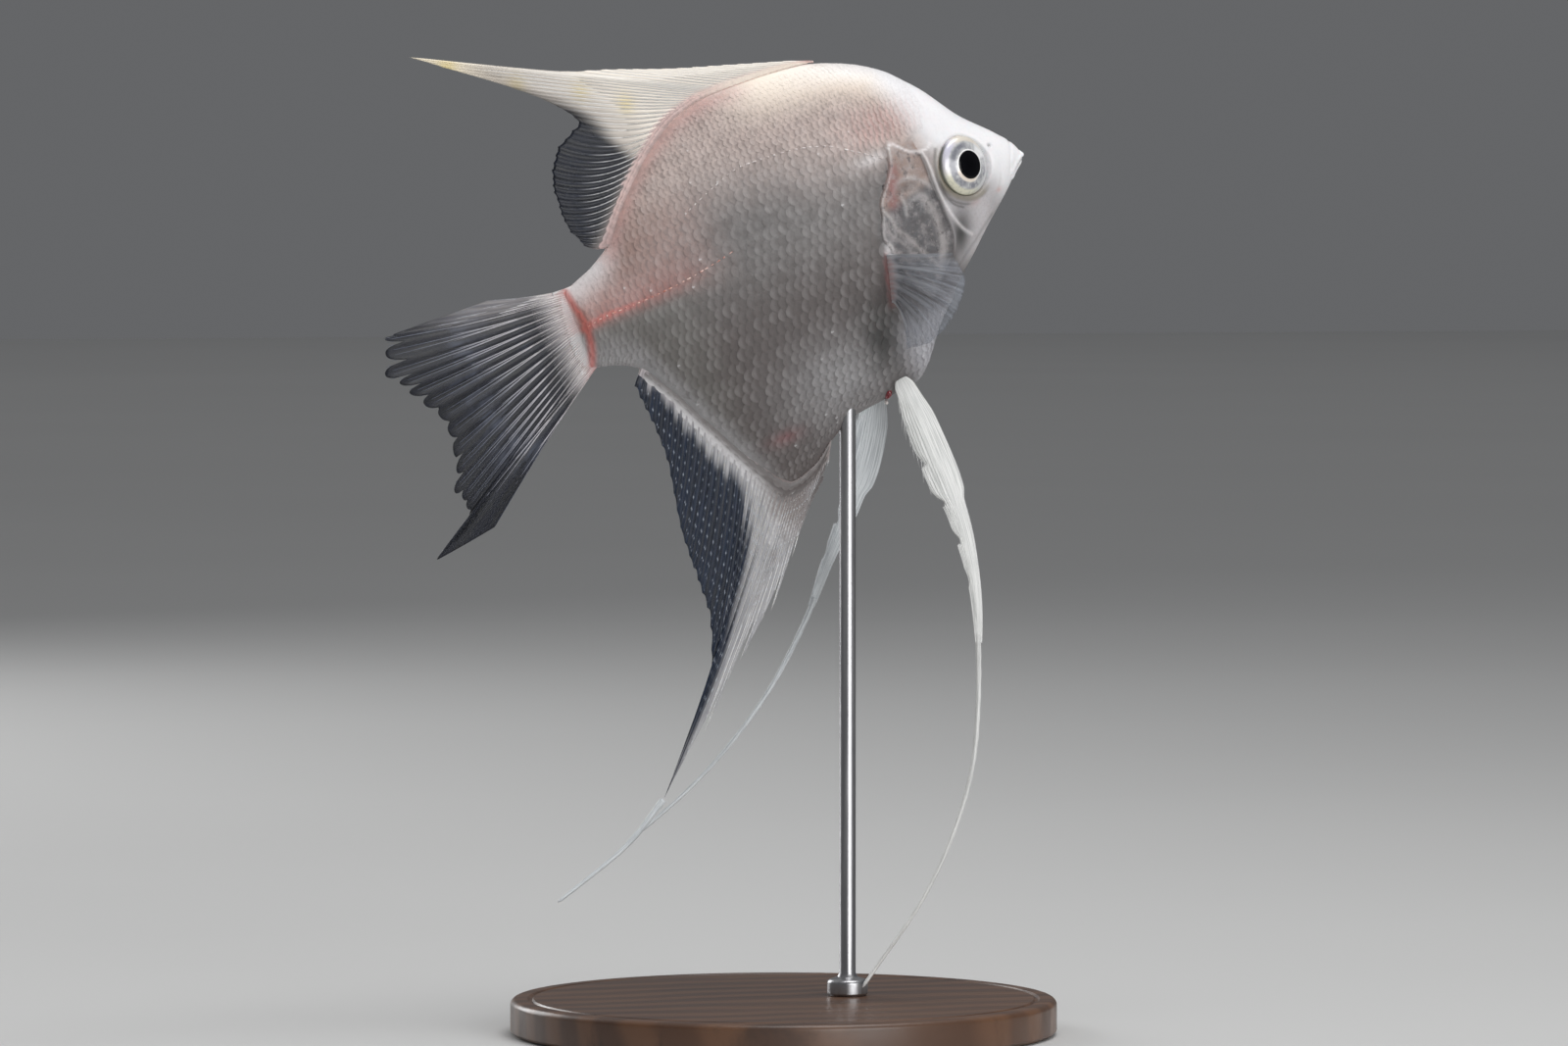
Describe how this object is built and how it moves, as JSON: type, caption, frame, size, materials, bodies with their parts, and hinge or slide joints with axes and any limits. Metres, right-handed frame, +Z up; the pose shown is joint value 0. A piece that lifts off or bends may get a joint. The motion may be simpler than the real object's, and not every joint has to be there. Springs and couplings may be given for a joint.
{
  "type": "freshwater angelfish model on a display stand",
  "caption": "Life-size still model of a white freshwater angelfish swimming nose up with trailing fins, held by a rod over a round base.",
  "frame": {"origin": "middle of the round base's underside", "axes": "+Z up, +X the way the fish's head points, +Y to the fish's left"},
  "size_m": [0.1012, 0.08, 0.1419],
  "materials": {
    "skin": "satin scales, pearly white",
    "eye": "glossy",
    "fin": "thin and translucent",
    "base": "dark, satin",
    "rod": "satin"
  },
  "bodies": {
    "root": {"head": "skin", "jaw": "skin", "gill_cover_left": "skin", "gill_cover_right": "skin", "trunk": "skin", "tail_stalk": "skin", "eye_left": "eye", "eye_right": "eye", "dorsal_fin": "fin", "anal_fin": "fin", "anal_streamer": "fin", "tail_fin": "fin", "pectoral_fin_left": "fin", "pectoral_fin_right": "fin", "pelvic_fin_left": "fin", "pelvic_fin_right": "fin", "pelvic_streamer_left_upper": "fin", "pelvic_streamer_left_lower": "fin", "pelvic_streamer_right_upper": "fin", "pelvic_streamer_right_lower": "fin", "stand_base": "base", "stand_rod": "rod"}
  },
  "joints": []
}
